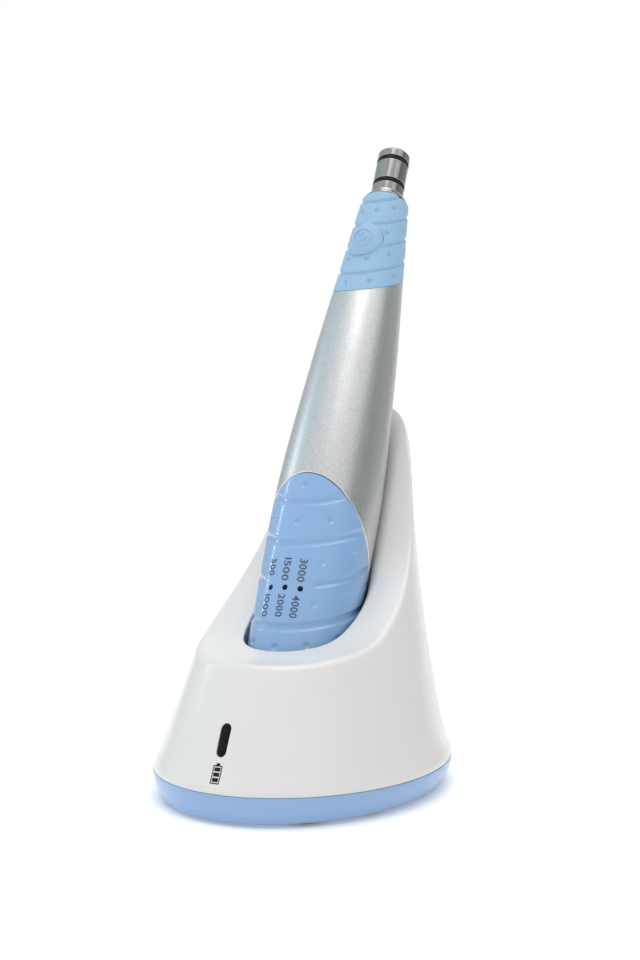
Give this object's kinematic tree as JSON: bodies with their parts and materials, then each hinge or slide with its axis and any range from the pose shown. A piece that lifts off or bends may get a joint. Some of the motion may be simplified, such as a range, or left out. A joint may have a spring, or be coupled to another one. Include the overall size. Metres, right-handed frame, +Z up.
{
  "type": "cordless dental handpiece in a charging stand",
  "caption": "Slim cordless rotary handpiece with a steel nose, silver barrel and blue grips, leaning in the well of a white charging stand with a blue base.",
  "frame": {"origin": "on the table, under the middle of the whole object's box: midway between the base's front and the nose's back corner, on the mirror plane", "axes": "+Z up; +X to the stand's right as seen from the front; -Y towards the stand's front, where the status window is; the handpiece leans back towards +Y"},
  "size_m": [0.0558, 0.0796, 0.1365],
  "materials": {
    "white_shell": "glossy white moulded plastic",
    "base_blue": "glossy light-blue moulded plastic",
    "grip_blue": "smooth light-blue plastic with a soft shine",
    "silicone_blue": "soft matt light-blue silicone",
    "barrel_silver": "satin silver anodised aluminium",
    "nose_steel": "turned and polished stainless steel",
    "inner_steel": "plain turned steel",
    "gear_brass": "machined brass",
    "contact_gold": "gold-plated contact",
    "seal_black": "black rubber",
    "black_plastic": "black moulded plastic",
    "window_black": "smoked black window",
    "lamp_amber": "lamp body",
    "board_green": "circuit board",
    "cell_wrap": "shrink-wrapped cell",
    "magnet_grey": "sintered magnet"
  },
  "bodies": {
    "stand": {"stand_shell": "white_shell", "stand_base": "base_blue", "ballast_plate": "inner_steel", "charge_board": "board_green", "dc_jack": "black_plastic", "status_lens": "window_black", "status_board": "board_green", "status_led": "lamp_amber", "contact_block": "black_plastic", "contact_sleeve_left": "gear_brass", "contact_sleeve_right": "gear_brass", "base_screw_1": "inner_steel", "base_screw_2": "inner_steel", "base_screw_3": "inner_steel", "base_screw_4": "inner_steel", "rubber_foot_1": "seal_black", "rubber_foot_2": "seal_black", "rubber_foot_3": "seal_black", "rubber_foot_4": "seal_black"},
    "handpiece": {"nose_spigot": "nose_steel", "o_ring_front": "seal_black", "o_ring_rear": "seal_black", "front_grip": "silicone_blue", "barrel": "barrel_silver", "rear_grip": "grip_blue", "end_plug": "grip_blue", "charge_pad_left": "contact_gold", "charge_pad_right": "contact_gold", "battery_cell": "cell_wrap", "control_board": "board_green", "speed_window_low": "window_black", "speed_window_mid": "window_black", "speed_window_high": "window_black", "motor_can": "inner_steel", "motor_end_cap": "black_plastic", "motor_magnet": "magnet_grey", "ring_gear": "inner_steel", "spindle_bearing_front": "inner_steel", "spindle_bearing_rear": "inner_steel", "spindle_seal": "seal_black", "switch_board": "board_green", "button_switch": "inner_steel"},
    "contact_pin_left": {"contact_pin_left": "contact_gold"},
    "contact_pin_right": {"contact_pin_right": "contact_gold"},
    "power_button": {"power_button": "silicone_blue"},
    "rotor": {"motor_rotor": "gear_brass", "sun_gear": "gear_brass"},
    "spindle": {"planet_carrier": "inner_steel", "drive_spindle": "nose_steel"},
    "planet_1": {"planet_gear_1": "gear_brass"},
    "planet_2": {"planet_gear_2": "gear_brass"},
    "planet_3": {"planet_gear_3": "gear_brass"}
  },
  "joints": [
    {"name": "handpiece_lift", "type": "slide", "parent": "stand", "child": "handpiece", "axis": [0, 0.3788, 0.9255], "range_m": [0, 0.09]},
    {"name": "contact_pin_left_press", "type": "slide", "parent": "stand", "child": "contact_pin_left", "axis": [0, 0.3788, 0.9255], "range_m": [-0.001, 0], "stiffness_N_per_m": 200, "springref_m": 0.0005},
    {"name": "contact_pin_right_press", "type": "slide", "parent": "stand", "child": "contact_pin_right", "axis": [0, 0.3788, 0.9255], "range_m": [-0.001, 0], "stiffness_N_per_m": 200, "springref_m": 0.0005},
    {"name": "power_button_press", "type": "slide", "parent": "handpiece", "child": "power_button", "axis": [0, 0.9255, -0.3788], "range_m": [0, 0.0005], "stiffness_N_per_m": 2000, "springref_m": -0.0002},
    {"name": "rotor_spin", "type": "hinge", "parent": "handpiece", "child": "rotor", "pos_m": [0, 0.01157, 0.07404], "axis": [0, 0.3788, 0.9255], "continuous": true},
    {"name": "spindle_spin", "type": "hinge", "parent": "handpiece", "child": "spindle", "pos_m": [0, 0.0193, 0.09292], "axis": [0, 0.3788, 0.9255], "continuous": true},
    {"name": "planet_1_spin", "type": "hinge", "parent": "spindle", "child": "planet_1", "pos_m": [0.0036, 0.01801, 0.08977], "axis": [0, 0.3788, 0.9255], "continuous": true},
    {"name": "planet_2_spin", "type": "hinge", "parent": "spindle", "child": "planet_2", "pos_m": [-0.0018, 0.02089, 0.08859], "axis": [0, 0.3788, 0.9255], "continuous": true},
    {"name": "planet_3_spin", "type": "hinge", "parent": "spindle", "child": "planet_3", "pos_m": [-0.0018, 0.01512, 0.09095], "axis": [0, 0.3788, 0.9255], "continuous": true}
  ],
  "couplings": [
    {"joint": "spindle_spin", "follows": "rotor_spin", "ratio": 0.25},
    {"joint": "planet_1_spin", "follows": "rotor_spin", "ratio": -0.75},
    {"joint": "planet_2_spin", "follows": "rotor_spin", "ratio": -0.75},
    {"joint": "planet_3_spin", "follows": "rotor_spin", "ratio": -0.75}
  ]
}
